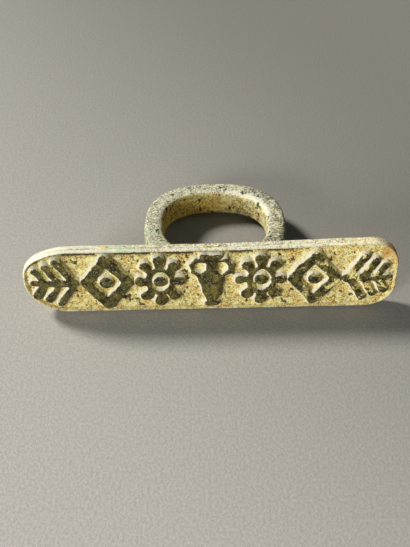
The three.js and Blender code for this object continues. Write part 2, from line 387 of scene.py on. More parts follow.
def slab_quads(kept):
    """The faces of a slab over the kept cells of a grid: its front, its back, whose points are numbered
    after the front's, and a wall wherever a kept cell has no neighbour."""
    rows, columns = (count + 1 for count in kept.shape)
    behind = rows * columns
    front = grid_quads(rows, columns, False, False)[kept.reshape(-1)]
    padded = np.pad(kept, 1)
    neighbours = [padded[1:-1, :-2], padded[2:, 1:-1], padded[1:-1, 2:], padded[:-2, 1:-1]]
    walls = []
    for edge, neighbour in enumerate(neighbours):
        bare = front[~neighbour[kept]]
        start = bare[:, edge]
        end = bare[:, (edge + 1) % 4]
        walls.append(np.stack([end, start, start + behind, end + behind], -1))
    return np.concatenate([front, front[:, ::-1] + behind, *walls])


def figure_shades(points, lift, inwards):
    """Earth lies on the flanks and in patches on the right-hand figures. The flanks that face up and to
    the left, towards the light, are painted pale as highlight, and the ones across from them brown as
    painted shade."""
    earth = 1 - step(lift + either_way(points, *EARTH_EDGE), *EARTH_FADE)
    soiled = step(points[:, 0], *SOILED_ALONG) * patches(points, *SOILED)
    return {
        "earth": np.maximum(earth, soiled),
        "pale": band(lift, *LIT_FLANK) * step(inwards, *LIT_FACING),
        "flank_shade": band(lift, *SHADED_FLANK) * step(inwards, *SHADED_FACING),
    }


def figure(name, material):
    """A slab on a square grid: its height over the field falls from the worn flat top down an eased flank,
    and its skirt runs under the earth. The slab is cut off past the skirt and closed behind."""
    x, z = figure_grid(name)
    distance = figure_distance(name, x, z)
    share = np.clip((FLANK_FOOT - distance) / (FLANK_FOOT - TOP_EDGE), 0, 1)
    rise = FLANK_STRAIGHT * share + (1 - FLANK_STRAIGHT) * eased(share)
    flat = face_on(x, z)
    on_flank = 4 * rise * (1 - rise)
    worn = rise * rough(flat, TOP_SWELLS, TOP_DENTS) * step(rise, *WORN_FROM)
    height = RELIEF * rise - worn + either_way(flat, *FLANK_DENTS) * on_flank
    height -= SKIRT_DROP * np.clip((distance - FLANK_FOOT) / SKIRT, 0, 1)
    nearest = np.minimum.reduce([distance[:-1, :-1], distance[1:, :-1], distance[1:, 1:], distance[:-1, 1:]])
    quads = slab_quads(nearest < FLANK_FOOT + SKIRT)
    used, inverse = np.unique(quads, return_inverse=True)
    front = np.stack([x, FIELD_Y - height, z], -1).reshape(-1, 3)
    back = np.stack([x, np.full_like(x, SLAB_BACK_Y), z], -1).reshape(-1, 3)
    slope_x, slope_z = np.gradient(-distance)
    steepness = np.hypot(slope_x, slope_z) + LEAST_SLOPE
    inwards = (LIT_SIDE[0] * slope_x + LIT_SIDE[1] * slope_z) / steepness
    nothing = np.zeros(x.size)
    points = np.concatenate([front, back])[used]
    lift = np.concatenate([rise.reshape(-1), nothing])[used]
    inwards = np.concatenate([inwards.reshape(-1), nothing])[used]
    shades = figure_shades(points, lift, inwards)
    return piece(name, points, inverse.reshape(-1, 4), shades, material)


# The plate's outline

OUTLINE_STEPS = 96
SIDE_POINTS = 330
CAP_POINTS = 90
POLE_LEFT = -25.0
POLE_RIGHT = 27.0


def outline():
    """The plate's outline, anticlockwise from the right end of its lower edge: four quarter ellipses, joined
    by straight lines below and at the ends, and by a line above that sags as a squared sine."""
    half = PLATE_LENGTH / 2

    def quarter(corner, x, z, right, up, start):
        rx, rz = CORNERS[corner]
        angle = start + np.linspace(0, math.pi / 2, OUTLINE_STEPS)
        return np.stack([x - right * rx + rx * np.cos(angle), z - up * rz + rz * np.sin(angle)], -1)

    top_right = quarter("top_right", half, HEIGHT_RIGHT, 1, 1, 0)
    top_left = quarter("top_left", -half, HEIGHT_LEFT, -1, 1, math.pi / 2)
    share = np.linspace(0, 1, OUTLINE_STEPS)[1:-1, None]
    sag = top_right[-1] * (1 - share) + top_left[0] * share
    sag[:, 1] -= TOP_SAG * np.sin(math.pi * share[:, 0]) ** 2
    bottom_right = quarter("bottom_right", half, 0, 1, -1, -math.pi / 2)
    bottom_left = quarter("bottom_left", -half, 0, -1, -1, math.pi)
    return np.concatenate([bottom_right, top_right, sag, top_left, bottom_left])


def spaced(line, count):
    """Points at even distances along a line, without its two ends."""
    run = np.concatenate([[0], np.cumsum(np.hypot(*np.diff(line, axis=0).T))])
    at = np.linspace(0, run[-1], count + 2)[1:-1]
    return np.stack([np.interp(at, run, line[:, 0]), np.interp(at, run, line[:, 1])], -1)


def long_side(line):
    """Points on one long side of the outline, at even places along x."""
    line = line[np.argsort(line[:, 0])]
    x = np.linspace(POLE_LEFT, POLE_RIGHT, SIDE_POINTS)
    return np.stack([x, np.interp(x, line[:, 0], line[:, 1])], -1)


def plate_edge():
    """The outline as points whose x is alike above and below, with a cap of points round each end, and for
    each point the one on the plate's middle line that it faces."""
    line = outline()
    lower = long_side(line[line[:, 1] < MIDDLE_Z])
    upper = long_side(line[line[:, 1] > MIDDLE_Z])
    right = np.concatenate([lower[-1:], line[line[:, 0] > POLE_RIGHT], upper[-1:]])
    left = np.concatenate([upper[:1], line[line[:, 0] < POLE_LEFT], lower[:1]])
    edge = np.concatenate([lower, spaced(right, CAP_POINTS), upper[::-1], spaced(left, CAP_POINTS)])
    centre = np.stack([np.clip(edge[:, 0], POLE_LEFT, POLE_RIGHT), np.full(len(edge), MIDDLE_Z)], -1)
    return edge, centre


def inward(edge):
    """The unit directions across the outline, to the plate's inside: its own direction turned by a right
    angle."""
    along = np.roll(edge, -1, axis=0) - np.roll(edge, 1, axis=0)
    along /= np.linalg.norm(along, axis=1, keepdims=True)
    return np.stack([-along[:, 1], along[:, 0]], -1)


EDGE, CENTRE = plate_edge()
INWARD = inward(EDGE)
FACING_UP = np.clip(-INWARD[:, 1], 0, 1)  # 1 along the upper edge, 0 along the lower one


def at_depth(line, depth):
    """A flat loop or line, as points at one depth of the plate."""
    return np.stack([line[:, 0], np.full(len(line), depth), line[:, 1]], -1)


def row(inset, depth):
    """One loop round the plate: its outline moved inwards, at one depth."""
    return at_depth(EDGE + INWARD * inset, depth)


def pushed_in(points, depth):
    """Loops round the plate, moved inwards across the outline."""
    return points + at_depth(INWARD, 0) * depth[..., None]


# The plate and its rim

# Loops over the field, down the wall, round the back edge and over the back
FIELD_ROWS = 44
WALL_ROWS = 8
ROUND_ROWS = 6
BACK_ROWS = 26
FIELD_INSET = 0.12
WALL_START = 0.12  # below the field
WALL_INSET = 0.02
WALL_TOP_INSET = 0.07

# Earth banked up against the figures: its height, where it starts and how far it fades
BANK_HEIGHT = 0.28
BANK_START = FLANK_FOOT - 0.3
BANK_FADE = 0.35

# The groove under the rim: its depth, and where it runs from the edge, by the edge's slope and along x
GROOVE_DEPTH = 0.3
GROOVE_ACROSS = (1.7, 1.15)
GROOVE_SLOPE = (0.4, 0.9)
GROOVE_ALONG = (26, 8)

# Noise of the plate: its depth and the size of its grains in millimetres, and its seed
FIELD_GRAINS = (0.13, 0.55, 31)
FIELD_SWELLS = (0.16, 2.6, 32)
FIELD_LEVEL = 0.4  # the level of the swells at which the field is neither raised nor sunk
EDGE_DENTS = (0.14, 1.4, 34)
EDGE_NICKS = (0.04, 0.4, 35)
BACK_SWELLS = (0.22, 3.4, 36)
BACK_GRAINS = (0.08, 0.7, 37)

# Patches on the plate: their strength or depth, the size of their grains, their seed, and the noise's levels
# at which they are faint and full
FIELD_PITS = (0.2, 0.8, 33, 0.66, 0.8)
FIELD_PITS_DARK = (1, 0.8, 33, 0.62, 0.76)
BACK_PITS = (0.25, 1.8, 38, 0.68, 0.8)
BACK_PITS_DARK = (1, 1.8, 38, 0.64, 0.76)
BACK_EARTH = (0.75, 4.0, 39, 0.4, 0.62)
BACK_GREEN = (0.6, 5.0, 40, 0.5, 0.7)
EDGE_GREEN = (0.9, 1.2, 41, 0.3, 0.55)

# Where the shades of the plate's edge run along x, in millimetres
EARTHY_END = (12, 30)
# the left end is painted paler, as crust and as painted highlight
PALE_LEFT_END = (-10, -24)
GREEN_ALONG = ((-22, -17), (-10, -15))

# How strong the shades of the plate are
FIELD_CRUST = 0.45
FIELD_CRUST_REACH = (0.9, 0.55)  # from the figures
SIDE_EARTH = {"all": 0.28, "end": 0.45, "lower": 0.3}
# The upper edge and the left end are pale with crust, and paler still as painted highlight where the light
# falls
SIDE_PALE = {"upper": 0.52, "end": 0.4}
BACK_CRUST = 0.15

# Rust stains at the right end: their strength, x, z and the distances at which they are faint and full
FIELD_RUST = (0.9, 30.9, 12.0, 2.0, 0.6)
SIDE_RUST = (0.8, 31.2, 11.6, 3.0, 1.2)
RIM_RUST = (0.9, 31.2, 11.6, 3.0, 1.2)


def stain(points, most, x, z, faint, full):
    """A round stain about a point, which fades in from its faint distance to its full one."""
    return most * step(np.hypot(points[..., 0] - x, points[..., 2] - z), faint, full)


def edge_green(points):
    """A ragged green patch on the upper edge, left of the ring."""
    return FACING_UP * band(points[..., 0], *GREEN_ALONG) * patches(points, *EDGE_GREEN)


def plate_field():
    """The stamping side, as loops from the plate's middle line out to its edge. Earth lies on it in grains
    and is banked up against the figures, and a groove runs under the rim at the top, painted dark as its
    shadow."""
    last = row(FIELD_INSET, FIELD_Y)
    share = np.linspace(1, 0, FIELD_ROWS)[:, None, None]
    points = last * (1 - share) + at_depth(CENTRE, FIELD_Y) * share
    x = points[..., 0]
    z = points[..., 2]
    near = np.minimum.reduce([figure_distance(name, x, z) for name in FIGURES])
    bank = BANK_HEIGHT * np.exp(-np.maximum(near - BANK_START, 0) / BANK_FADE)
    earth = bank + rough(points, FIELD_GRAINS, FIELD_SWELLS) - FIELD_SWELLS[0] * FIELD_LEVEL
    pits_and_shadow = patches(points, *FIELD_PITS)
    from_edge = np.hypot(x - EDGE[:, 0], z - EDGE[:, 1])
    groove = step(from_edge, *GROOVE_ACROSS) * step(-INWARD[:, 1], *GROOVE_SLOPE) * step(x, *GROOVE_ALONG)
    points[..., 1] = FIELD_Y - earth * (1 - groove) + pits_and_shadow + GROOVE_DEPTH * groove
    return points, {
        "earth": np.ones(x.shape),
        "pale": FIELD_CRUST * step(near, *FIELD_CRUST_REACH),
        "green": np.zeros(x.shape),
        # painted shadow: the groove under the rim at the top is painted dark, along with the pits
        "pits_and_shadow": np.maximum(patches(points, *FIELD_PITS_DARK), groove),
        "rust": stain(points, *FIELD_RUST),
    }


def plate_sides():
    """Loops down the plate's wall and round its back edge, whose section is a quarter circle."""
    depths = np.linspace(FIELD_Y + WALL_START, THICKNESS - BACK_ROUND, WALL_ROWS)
    loops = [row(WALL_TOP_INSET, depths[0])] + [row(WALL_INSET, depth) for depth in depths[1:]]
    for angle in np.linspace(0, math.pi / 2, ROUND_ROWS + 1)[1:]:
        inset = WALL_INSET + BACK_ROUND * (1 - math.cos(angle))
        loops.append(row(inset, THICKNESS - BACK_ROUND * (1 - math.sin(angle))))
    points = np.stack(loops)
    points = pushed_in(points, rough(points, EDGE_DENTS, EDGE_NICKS))
    x = points[..., 0]
    end_earth = SIDE_EARTH["end"] * step(x, *EARTHY_END)
    end_pale = SIDE_PALE["end"] * step(x, *PALE_LEFT_END)
    return points, {
        "earth": SIDE_EARTH["all"] + end_earth + SIDE_EARTH["lower"] * (1 - FACING_UP),
        "pale": SIDE_PALE["upper"] * FACING_UP + end_pale,
        "green": edge_green(points),
        "pits_and_shadow": np.zeros(x.shape),
        "rust": stain(points, *SIDE_RUST),
    }


def plate_back():
    """The back, as loops from the plate's edge in to its middle line, with swells, grains and pits."""
    first = row(WALL_INSET + BACK_ROUND, THICKNESS)
    share = np.linspace(0, 1, BACK_ROWS)[1:, None, None]
    points = first * (1 - share) + at_depth(CENTRE, THICKNESS) * share
    points[..., 1] -= rough(points, BACK_SWELLS, BACK_GRAINS) + patches(points, *BACK_PITS)
    nothing = np.zeros(points.shape[:-1])
    return points, {
        "earth": patches(points, *BACK_EARTH),
        "pale": nothing + BACK_CRUST,
        "green": patches(points, *BACK_GREEN),
        "pits_and_shadow": patches(points, *BACK_PITS_DARK),
        "rust": nothing,
    }


def plate(material):
    """Loops round the outline: out over the field, over the edge, and in again over the back."""
    parts = [plate_field(), plate_sides(), plate_back()]
    points = np.concatenate([part for part, _ in parts])
    shades = {}
    for shade in parts[0][1]:
        values = [np.broadcast_to(shades_of[shade], part.shape[:-1]) for part, shades_of in parts]
        shades[shade] = np.concatenate(values)
    quads = grid_quads(*points.shape[:2])
    return piece("face_plate", points, quads, shades, material)


# The rim's section, as insets from the outline and depths
RIM_SECTION = np.array([
    (0.98, 1.32), (0.86, 1.1), (0.76, 0.86), (0.7, 0.62), (0.62, 0.45), (0.5, 0.35), (0.36, 0.31),
    (0.22, 0.34), (0.11, 0.42), (0.05, 0.56), (0.02, 0.75), (0.02, 1.0), (0.04, 1.2), (0.14, 1.34),
])
RIM_OUTSIDE = 0.3  # the insets below this are the rim's outer side
RIM_DENTED = 0.4  # and those below this are dented with the plate's edge
RIM_CROWN = (0.9, 0.35)
RIM_SWELLS = (0.22, 3.2, 51)
RIM_GRAINS = (0.1, 0.7, 52)
RIM_INNER_DENTS = (-0.1, 1.1, 53)
# Painted shadow on the rim's inner wall along the top, which faces down: by the edge's slope and along x
RIM_SHADOW_SLOPE = (0.3, 0.8)
RIM_SHADOW_ALONG = (24, -2)
RIM_OUTER_EARTH = {"all": 0.35, "end": 0.4, "lower": 0.25}
RIM_INNER_EARTH = 0.9
# The rim's upper edge and left end are pale with crust, and paler still as painted highlight where the light
# falls
RIM_OUTER_PALE = {"all": 0.15, "upper": 0.52, "end": 0.4}
RIM_INNER_CRUST = 0.3


def rim(material):
    """A low rounded lip carried round the outline. Its section runs from its inner foot, over its crown, to
    its outer foot, and closes inside the plate. Its inner wall along the top, which faces down, is painted
    dark as shadow."""
    insets = RIM_SECTION[:, :1]
    depths = RIM_SECTION[:, 1:]
    points = np.stack([row(inset, depth) for inset, depth in RIM_SECTION])
    points[..., 1] += step(depths, *RIM_CROWN) * rough(points, RIM_SWELLS, RIM_GRAINS)
    outer_dents = rough(points, EDGE_DENTS, EDGE_NICKS)
    inner_dents = rough(points, RIM_INNER_DENTS)
    points = pushed_in(points, np.where(insets < RIM_DENTED, outer_dents, inner_dents))
    x = points[..., 0]
    outside = insets < RIM_OUTSIDE
    end_earth = RIM_OUTER_EARTH["end"] * step(x, *EARTHY_END)
    outer_earth = RIM_OUTER_EARTH["all"] + end_earth + RIM_OUTER_EARTH["lower"] * (1 - FACING_UP)
    end_pale = RIM_OUTER_PALE["end"] * step(x, *PALE_LEFT_END)
    outer_pale = RIM_OUTER_PALE["upper"] * FACING_UP + RIM_OUTER_PALE["all"] + end_pale
    # painted shadow on the inner wall along the top
    inner_shadow = step(-INWARD[:, 1], *RIM_SHADOW_SLOPE) * step(x, *RIM_SHADOW_ALONG)
    shades = {
        "earth": np.where(outside, outer_earth, RIM_INNER_EARTH),
        "pale": np.where(outside, outer_pale, RIM_INNER_CRUST),
        "green": np.where(outside, edge_green(points), 0),
        "pits_and_shadow": np.where(outside, 0, inner_shadow),
        "rust": stain(points, *RIM_RUST),
    }
    quads = grid_quads(*points.shape[:2], True, True)
    return piece("border_rim", points, quads, shades, material)


# Finger ring

RING_STEPS = 460
SECTION_STEPS = 88

# Noise of the ring: its depth and the size of its grains in millimetres, and its seed
RING_SWELLS = (0.16, 3.6, 61)
RING_DENTS = (0.12, 0.9, 62)
RING_GRAINS = (0.07, 0.35, 63)

# Patches on the ring, as on the plate
RING_EARTH = (1, 2.2, 64, 0.46, 0.66)
RING_GREEN = (0.42, 3.0, 65, 0.5, 0.7)
RING_BARE = (0.85, 1.5, 66, 0.38, 0.6)
RING_PITS = (1, 0.8, 67, 0.62, 0.78)

# Where the ring's shades run: along y, along x, and by the section's place across the band and up it
FAR_SIDE = (12, 20)
GOLD_ALONG = (8, -3)
RIGHT_SIDE = (3, 11)
CREST_ALONG = (1, 7)
INSIDE = (-0.55, -0.95)
OUTSIDE = (0.5, 0.9)
TOPSIDE = (0.55, 0.95)
CREST_ACROSS = (-0.15, -0.6)

# How strong the shades of the ring are
INSIDE_EARTH = 0.55
GOLDEN_EARTH = 0.5
PATCHED_EARTH = {"all": 0.25, "right": 0.1}
TOP_CRUST = 0.35
# a painted highlight along the top's inner edge on the right
CREST_HIGHLIGHT = 0.65
INSIDE_COVERED = 0.7

FOOT_STEPS = 40
FOOT_SECTION_STEPS = 60
FOOT_IN_RING = 0.35  # the foot's outer side starts this deep inside the ring
FOOT_INNER_SIDE = 2.6
FOOT_FLARE = 3  # the power by which a foot spreads towards the plate
FOOT_DENTS = (0.12, 1.2, 71)
FOOT_EARTH = (0.5, 1.6, 72, 0.4, 0.62)
FOOT_GREEN = (0.5, 2.4, 73, 0.4, 0.65)
FOOT_CRUST = 0.3
FOOT_TOPSIDE = (0.4, 0.9)


def squared_ellipse(half, angle):
    """A squared ellipse round the ring's centre: cosine and sine, each raised to 2 over the squareness."""
    cosine = np.cos(angle)
    sine = np.sin(angle)
    power = 2 / SQUARENESS
    x = RING_CENTRE[0] + half[0] * np.sign(cosine) * np.abs(cosine) ** power
    y = RING_CENTRE[1] + half[1] * np.sign(sine) * np.abs(sine) ** power
    return np.stack([x, y], -1)


def squared_section(count):
    """A closed section with round corners, as a squared circle."""
    angle = -np.linspace(0, 2 * math.pi, count, endpoint=False)
    power = 2 / SECTION_SQUARENESS
    across = np.sign(np.cos(angle)) * np.abs(np.cos(angle)) ** power
    up = np.sign(np.sin(angle)) * np.abs(np.sin(angle)) ** power
    return across, up


def ring_shades(points, across, up):
    """Golden earth inside the ring's far part, a painted highlight along its top's inner edge on the right,
    and bare dark metal on its outer and right sides, with patches of earth and green, and pitted all over."""
    x = points[..., 0]
    far = step(points[..., 1], *FAR_SIDE)
    right = step(x, *RIGHT_SIDE)
    inside = step(across, *INSIDE)
    topside = step(up, *TOPSIDE)
    gold = inside * far * step(x, *GOLD_ALONG)
    # painted highlight along the top's inner edge on the right
    crest_highlight = topside * step(across, *CREST_ACROSS) * step(x, *CREST_ALONG) * far
    patched = (PATCHED_EARTH["all"] + PATCHED_EARTH["right"] * right) * patches(points, *RING_EARTH)
    bare = np.maximum(step(across, *OUTSIDE) * far, right * (1 - INSIDE_COVERED * inside))
    return {
        "earth": INSIDE_EARTH * inside + GOLDEN_EARTH * gold + patched,
        "gold": gold,
        "pale": TOP_CRUST * topside + CREST_HIGHLIGHT * crest_highlight,
        "green": patches(points, *RING_GREEN),
        "bare": bare * patches(points, *RING_BARE),
        "pits_and_shadow": patches(points, *RING_PITS),
    }


def ring(material):
    """A squared section carried round between the ring's outline and its hole, and sunk into the plate. Its
    dents move each point towards the middle of its section."""
    angle = np.linspace(0, 2 * math.pi, RING_STEPS, endpoint=False)
    across, up = (values[:, None] for values in squared_section(SECTION_STEPS))
    outer = squared_ellipse(RING_HALF, angle)
    hole = squared_ellipse(HOLE_HALF, angle)
    place = (outer + hole) / 2 + across[..., None] * (outer - hole) / 2
    z = RING_CENTRE[2] + up * BAND_WIDTH / 2 * np.ones(RING_STEPS)
    points = np.concatenate([place, z[..., None]], -1)
    dents = rough(points, RING_SWELLS, RING_DENTS, RING_GRAINS)
    middle = np.concatenate([(outer + hole) / 2, np.full((RING_STEPS, 1), RING_CENTRE[2])], -1)
    towards = middle - points
    towards /= np.linalg.norm(towards, axis=-1, keepdims=True)
    points = points + towards * dents[..., None]
    points[..., 1] = np.maximum(points[..., 1], RING_SINK_Y)
    quads = grid_quads(SECTION_STEPS, RING_STEPS, True, True)
    return piece("finger_ring", points, quads, ring_shades(points, across, up), material)


def ring_foot(word, side, material):
    """A flare between the ring's side and the plate's back: squared sections along y, whose outer side moves
    out as a power of the way to the plate. Both ends are closed by a pole inside the metal."""
    share = np.linspace(0, 1, FOOT_STEPS)
    depth = FOOT_TOP_Y + (RING_SINK_Y - FOOT_TOP_Y) * share
    from_centre = np.clip((RING_CENTRE[1] - depth) / RING_HALF[1], 0, 1)
    ring_side = RING_HALF[0] * (1 - from_centre**SQUARENESS) ** (1 / SQUARENESS)
    grown = np.clip((FOOT_TOP_Y - depth) / (FOOT_TOP_Y - THICKNESS), 0, 1) ** FOOT_FLARE
    outer = ring_side - FOOT_IN_RING + FOOT_REACH * FOOT_DRAWN_IN * grown
    inner = ring_side - FOOT_INNER_SIDE
    half_height = FOOT_HALF_HEIGHT[0] + (FOOT_HALF_HEIGHT[1] - FOOT_HALF_HEIGHT[0]) * grown
    across, up = squared_section(FOOT_SECTION_STEPS)
    scale = np.concatenate([[0], np.ones(FOOT_STEPS), [0]])
    rows = np.concatenate([[0], np.arange(FOOT_STEPS), [FOOT_STEPS - 1]])
    middle = ((outer + inner) / 2)[rows, None]
    half = ((outer - inner) / 2)[rows, None]
    x = middle + half * across * scale[:, None]
    z = RING_CENTRE[2] + half_height[rows, None] * up * scale[:, None]
    y = depth[rows, None] * np.ones_like(x)
    points = np.stack([RING_CENTRE[0] + side * x, y, z], -1)
    points += (either_way(points, *FOOT_DENTS) * scale[:, None])[..., None]
    shades = {
        "earth": patches(points, *FOOT_EARTH),
        "pale": FOOT_CRUST * step(up, *FOOT_TOPSIDE),
        "green": patches(points, *FOOT_GREEN),
    }
    quads = grid_quads(*x.shape)
    if side > 0:
        quads = quads[:, ::-1]
    return piece(f"ring_foot_{word}", points, quads, shades, material)


# Materials

# The Mix node has sockets for each kind of value, and these are the ones for colours
MIX_SHARE = 0
MIX_UNDER = 6
MIX_OVER = 7
MIX_COLOUR = 2

CRUMB_DETAIL = 5.0
CRUMB_ROUGHNESS = 0.7
RAGGED_NOISE = (0.3, 0.7)
RAGGED_EDGE = (0.25, 0.8)
BUMP_STRENGTH = 0.7

# Sizes of the grains in the materials, in millimetres
FINE = 0.26
CRUST_PATCHES = 1.1
METAL_PATCHES = 1.2
GREEN_TINTS = 2.1
EARTH_CRUMBS = 0.36
GOLD_CRUMBS = 0.34
GLINT_GRAINS = 0.22
BUMP_GRAINS = 0.12
PAPER_FIBRES = 0.5


def linear(red, green, blue):
    """A colour as it looks, from 0 to 255, as the shader's linear values."""
    shown = np.array([red, green, blue]) / 255
    values = np.where(shown <= 0.04045, shown / 12.92, ((shown + 0.055) / 1.055) ** 2.4)
    return (*values.tolist(), 1.0)


class Paint:
    """Builds a material from masks: each layer of colour lies over the last one where its mask is high."""

    def __init__(self, name):
        self.material = bpy.data.materials.new(name)
        self.material.use_nodes = True
        self.nodes = self.material.node_tree.nodes
        self.links = self.material.node_tree.links
        self.shader = self.nodes["Principled BSDF"]
        coordinates = self.nodes.new("ShaderNodeTexCoord")
        self.place = self.nodes.new("ShaderNodeVectorMath")
        self.place.operation = "SCALE"
        self.place.inputs["Scale"].default_value = 1 / MM
        self.links.new(coordinates.outputs["Object"], self.place.inputs[0])

    def put(self, socket, value):
        """Links a socket to another node's output, or sets it to a value."""
        if isinstance(value, bpy.types.NodeSocket):
            self.links.new(value, socket)
        else:
            socket.default_value = value

    def noise(self, size, detail=3.0, roughness=0.6):
        """Noise whose grains are about the given size in millimetres."""
        node = self.nodes.new("ShaderNodeTexNoise")
        node.inputs["Scale"].default_value = 1 / size
        node.inputs["Detail"].default_value = detail
        node.inputs["Roughness"].default_value = roughness
        self.links.new(self.place.outputs[0], node.inputs["Vector"])
        return node.outputs["Fac"]

    def crumbs(self, size):
        """Noise with much fine detail, as dry earth has."""
        return self.noise(size, CRUMB_DETAIL, CRUMB_ROUGHNESS)

    def shade(self, name):
        """One of the shades that a piece carries on its points."""
        node = self.nodes.new("ShaderNodeAttribute")
        node.attribute_name = name
        return node.outputs["Fac"]

    def math(self, operation, a, b):
        """One sum or product of two values."""
        node = self.nodes.new("ShaderNodeMath")
        node.operation = operation
        self.put(node.inputs[0], a)
        self.put(node.inputs[1], b)
        return node.outputs[0]

    def between(self, value, low, high, start=0.0, end=1.0):
        """An eased step of a value from low to high, which runs from start to end."""
        node = self.nodes.new("ShaderNodeMapRange")
        node.interpolation_type = "SMOOTHSTEP"
        self.put(node.inputs["Value"], value)
        for name, number in (("From Min", low), ("From Max", high), ("To Min", start), ("To Max", end)):
            node.inputs[name].default_value = number
        return node.outputs["Result"]

    def ragged(self, shade, size, amount, most=1.0):
        """A shade whose edge is broken up by noise, and which hides at most that share of what it covers."""
        mask = self.shade(shade)
        breaks = self.between(self.crumbs(size), *RAGGED_NOISE, -amount, amount)
        return self.between(self.math("ADD", mask, breaks), *RAGGED_EDGE, 0.0, most)

    def layer(self, mask, under, over):
        """One colour over another where the mask is high."""
        node = self.nodes.new("ShaderNodeMix")
        node.data_type = "RGBA"
        self.put(node.inputs[MIX_SHARE], mask)
        self.put(node.inputs[MIX_UNDER], under)
        self.put(node.inputs[MIX_OVER], over)
        return node.outputs[MIX_COLOUR]

    def speckled(self, under, over, noise, low, high, most):
        """One colour over another in specks, where noise is above a level."""
        return self.layer(self.between(noise, low, high, 0, most), under, over)

    def crusted(self, under, over, shade, size, amount, most):
        """One colour over another where a shade is high, with a ragged edge."""
        return self.layer(self.ragged(shade, size, amount, most), under, over)

    def finish(self, colour, roughness, height, depth):
        """Sends the colour, the roughness and a bump of the given depth in millimetres to the shader."""
        bump = self.nodes.new("ShaderNodeBump")
        bump.inputs["Strength"].default_value = BUMP_STRENGTH
        bump.inputs["Distance"].default_value = depth * MM
        self.put(bump.inputs["Height"], height)
        self.links.new(colour, self.shader.inputs["Base Color"])
        self.links.new(roughness, self.shader.inputs["Roughness"])
        self.links.new(bump.outputs["Normal"], self.shader.inputs["Normal"])
        return self.material


EARTH = linear(252, 220, 122)
EARTH_LIGHT = linear(255, 251, 176)
EARTH_DARK = linear(106, 74, 18)
# pale crust, and the colour of painted highlights
CRUST_AND_HIGHLIGHT = linear(246, 244, 222)
# painted shade: brown on the figures' flanks that face away from the light
FLANK_SHADE = linear(118, 88, 44)
# the dark of pits, and of painted shadow under the rim
PIT_AND_SHADOW = linear(48, 36, 14)
SAGE = linear(206, 206, 176)
SAGE_DARK = linear(116, 116, 88)
SAGE_DEEP = linear(58, 58, 38)
MINT = linear(188, 214, 174)
RUBBED = linear(28, 25, 8)
RUBBED_LIGHT = linear(124, 112, 50)
RUBBED_GREEN = linear(80, 88, 46)
GOLD_EARTH = linear(255, 216, 92)
GOLD_DARK = linear(92, 68, 6)
RUST = linear(206, 146, 66)
# pale specks on the patina, and painted glints on the figures' tops
SPECKS_AND_GLINTS = linear(240, 238, 210)


def grains_of_earth(paint, fine, coarse):
    """Ochre earth as light and dark grains, with darker crumbs between them."""
    earth = paint.layer(paint.between(fine, low=0.38, high=0.54), EARTH_DARK, EARTH)
    earth = paint.speckled(earth, EARTH_LIGHT, coarse, low=0.44, high=0.6, most=0.9)
    return paint.speckled(earth, EARTH_DARK, paint.crumbs(EARTH_CRUMBS), low=0.54, high=0.64, most=0.9)


def fine_bumps(paint, fine):
    """A surface's height: the fine grains, and half as much of still finer ones."""
    return paint.math("ADD", fine, paint.math("MULTIPLY", paint.noise(BUMP_GRAINS, detail=2.0), 0.5))


def earthy_bronze(name):
    """Bronze under its crusts: patina with pale specks, then metal rubbed dark where nothing lies on it,
    grains of earth, pale crust with painted highlights, green patches, rust, pitting and painted shadow."""
    paint = Paint(name)
    fine = paint.crumbs(FINE)
    coarse = paint.crumbs(CRUST_PATCHES)
    colour = paint.layer(paint.between(coarse, low=0.36, high=0.6), SAGE_DARK, SAGE)
    colour = paint.layer(paint.between(fine, low=0.38, high=0.52, start=0.95, end=0), colour, SAGE_DEEP)
    colour = paint.speckled(colour, SPECKS_AND_GLINTS, fine, low=0.52, high=0.6, most=0.95)
    colour = paint.crusted(colour, RUBBED, "bare", size=0.5, amount=0.5, most=0.8)
    earth = grains_of_earth(paint, fine, coarse)
    gold = paint.layer(paint.between(paint.crumbs(GOLD_CRUMBS), low=0.4, high=0.58), GOLD_DARK, GOLD_EARTH)
    earth = paint.speckled(earth, gold, paint.shade("gold"), low=0.1, high=0.9, most=0.9)
    colour = paint.crusted(colour, earth, "earth", size=0.45, amount=0.5, most=0.92)
    colour = paint.crusted(colour, CRUST_AND_HIGHLIGHT, "pale", size=0.4, amount=0.45, most=0.75)
    colour = paint.crusted(colour, MINT, "green", size=0.9, amount=0.4, most=0.55)
    colour = paint.crusted(colour, RUST, "rust", size=0.6, amount=0.5, most=0.6)
    # pits, and painted shadow in the groove under the rim and on the rim's inner wall along the top
    colour = paint.crusted(colour, PIT_AND_SHADOW, "pits_and_shadow", size=0.3, amount=0.25, most=0.94)
    roughness = paint.between(coarse, low=0.3, high=0.7, start=0.72, end=0.95)
    return paint.finish(colour, roughness, fine_bumps(paint, fine), depth=0.2)


